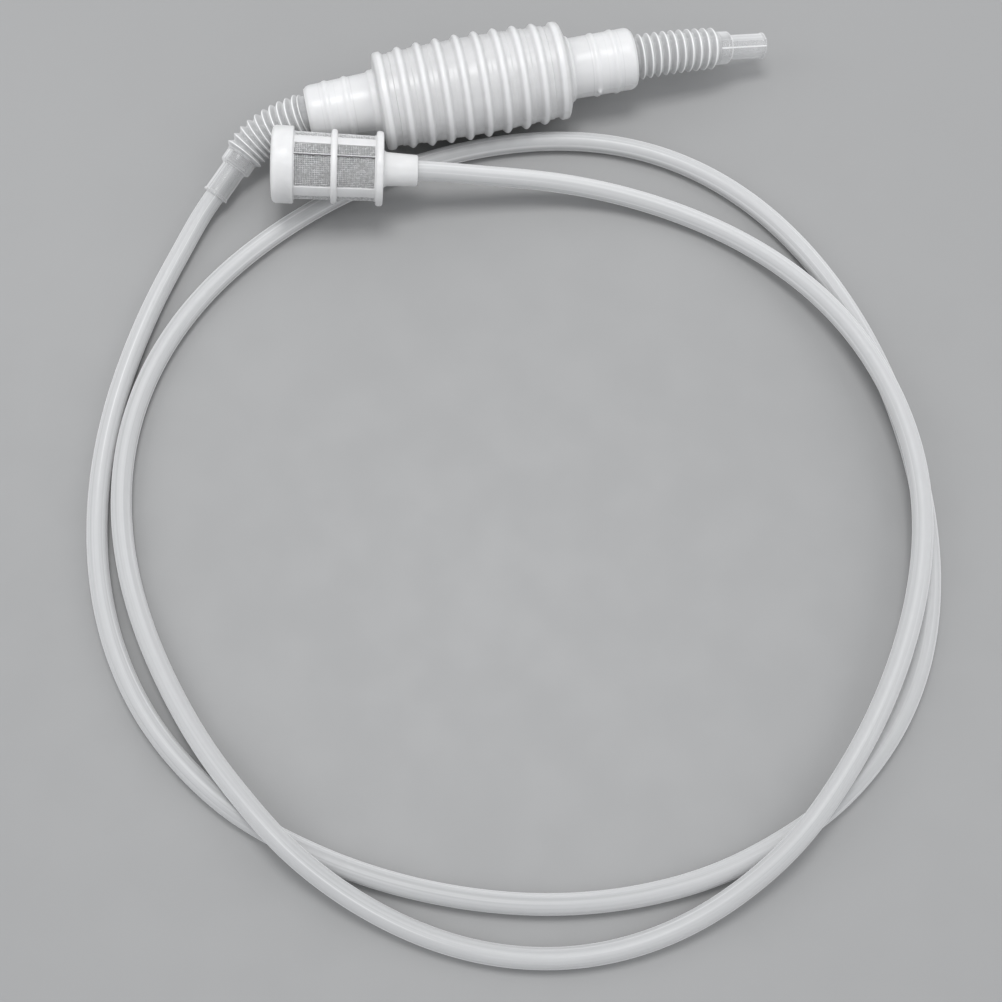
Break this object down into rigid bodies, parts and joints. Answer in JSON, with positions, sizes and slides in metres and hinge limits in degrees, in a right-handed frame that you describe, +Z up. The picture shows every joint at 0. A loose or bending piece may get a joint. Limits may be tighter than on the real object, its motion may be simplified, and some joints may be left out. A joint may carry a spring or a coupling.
{
  "type": "siphon bulb pump",
  "caption": "Hand siphon pump with a ribbed squeeze bulb, flexible inlet and outlet tubes, coiled clear hose and an intake strainer.",
  "frame": {"origin": "centre of the footprint of the coiled pump, on the surface it lies on", "axes": "+Z up, out of the surface; the coil lies in XY; the squeeze bulb lies at the +Y side and its outlet points towards +X"},
  "size_m": [0.3314, 0.3816, 0.0442],
  "materials": {
    "clear_hose": "smooth translucent flexible vinyl",
    "clear_plastic": "smooth clear flexible moulding",
    "bulb_plastic": "translucent blow-moulded polyethylene, satin",
    "white_plastic": "white polypropylene, satin",
    "mesh": "fine woven nylon mesh",
    "valve_plastic": "white polypropylene",
    "valve_rubber": "soft translucent silicone"
  },
  "bodies": {
    "hose_coil": {"hose": "clear_hose", "inlet_stub": "clear_plastic"},
    "inlet_link": {"inlet_bellows": "clear_plastic"},
    "pump": {"bulb_shell": "bulb_plastic", "inlet_valve_housing": "valve_plastic", "inlet_valve_seat": "valve_plastic", "inlet_valve_cage": "valve_plastic", "outlet_valve_housing": "valve_plastic", "outlet_valve_seat": "valve_plastic", "outlet_valve_cage": "valve_plastic"},
    "bulb_top": {"bulb_upper_wall": "bulb_plastic"},
    "bulb_bottom": {"bulb_lower_wall": "bulb_plastic"},
    "inlet_disc": {"inlet_valve_disc": "valve_rubber"},
    "outlet_disc": {"outlet_valve_disc": "valve_rubber"},
    "outlet_link": {"outlet_bellows": "clear_plastic"},
    "spout": {"outlet_spout": "clear_plastic"},
    "strainer": {"filter_cage": "white_plastic", "filter_mesh": "mesh"},
    "strainer_cap": {"filter_cap": "white_plastic"}
  },
  "joints": [
    {"name": "inlet_swing", "type": "hinge", "parent": "hose_coil", "child": "inlet_link", "pos_m": [-0.10636, 0.13913, 0.01355], "axis": [0, 0, 1], "range_deg": [0, 45], "stiffness_Nm_per_rad": 0.03, "deforming": ["inlet_bellows"]},
    {"name": "inlet_lift", "type": "hinge", "parent": "inlet_link", "child": "pump", "pos_m": [-0.09308, 0.14502, 0.01873], "axis": [0.1977, -0.9803, 0], "range_deg": [0, 50], "stiffness_Nm_per_rad": 0.03, "deforming": ["inlet_bellows"]},
    {"name": "bulb_squeeze", "type": "slide", "parent": "pump", "child": "bulb_top", "axis": [0, 0, -1], "range_m": [0, 0.011], "stiffness_N_per_m": 400, "deforming": ["bulb_upper_wall"]},
    {"name": "bulb_squeeze_under", "type": "slide", "parent": "pump", "child": "bulb_bottom", "axis": [0, 0, 1], "range_m": [0, 0.011], "stiffness_N_per_m": 400, "deforming": ["bulb_lower_wall"]},
    {"name": "inlet_valve_lift", "type": "slide", "parent": "pump", "child": "inlet_disc", "axis": [0.9803, 0.1977, 0], "range_m": [0, 0.0025]},
    {"name": "outlet_valve_lift", "type": "slide", "parent": "pump", "child": "outlet_disc", "axis": [0.9803, 0.1977, 0], "range_m": [0, 0.0025]},
    {"name": "outlet_swing", "type": "hinge", "parent": "pump", "child": "outlet_link", "pos_m": [0.06195, 0.1764, 0.02118], "axis": [0, 0, 1], "range_deg": [-40, 40], "stiffness_Nm_per_rad": 0.02, "deforming": ["outlet_bellows"]},
    {"name": "outlet_lift", "type": "hinge", "parent": "outlet_link", "child": "spout", "pos_m": [0.07619, 0.17927, 0.01978], "axis": [0.1977, -0.9803, 0], "range_deg": [-30, 50], "stiffness_Nm_per_rad": 0.02, "deforming": ["outlet_bellows"]},
    {"name": "strainer_turn", "type": "hinge", "parent": "hose_coil", "child": "strainer", "pos_m": [-0.03806, 0.12002, 0.0227], "axis": [-0.9941, -0.01, 0.108], "continuous": true},
    {"name": "strainer_cap_pull", "type": "slide", "parent": "strainer", "child": "strainer_cap", "axis": [-0.9941, -0.01, 0.108], "range_m": [0, 0.008]}
  ],
  "couplings": [
    {"joint": "bulb_squeeze_under", "follows": "bulb_squeeze", "ratio": 1}
  ]
}
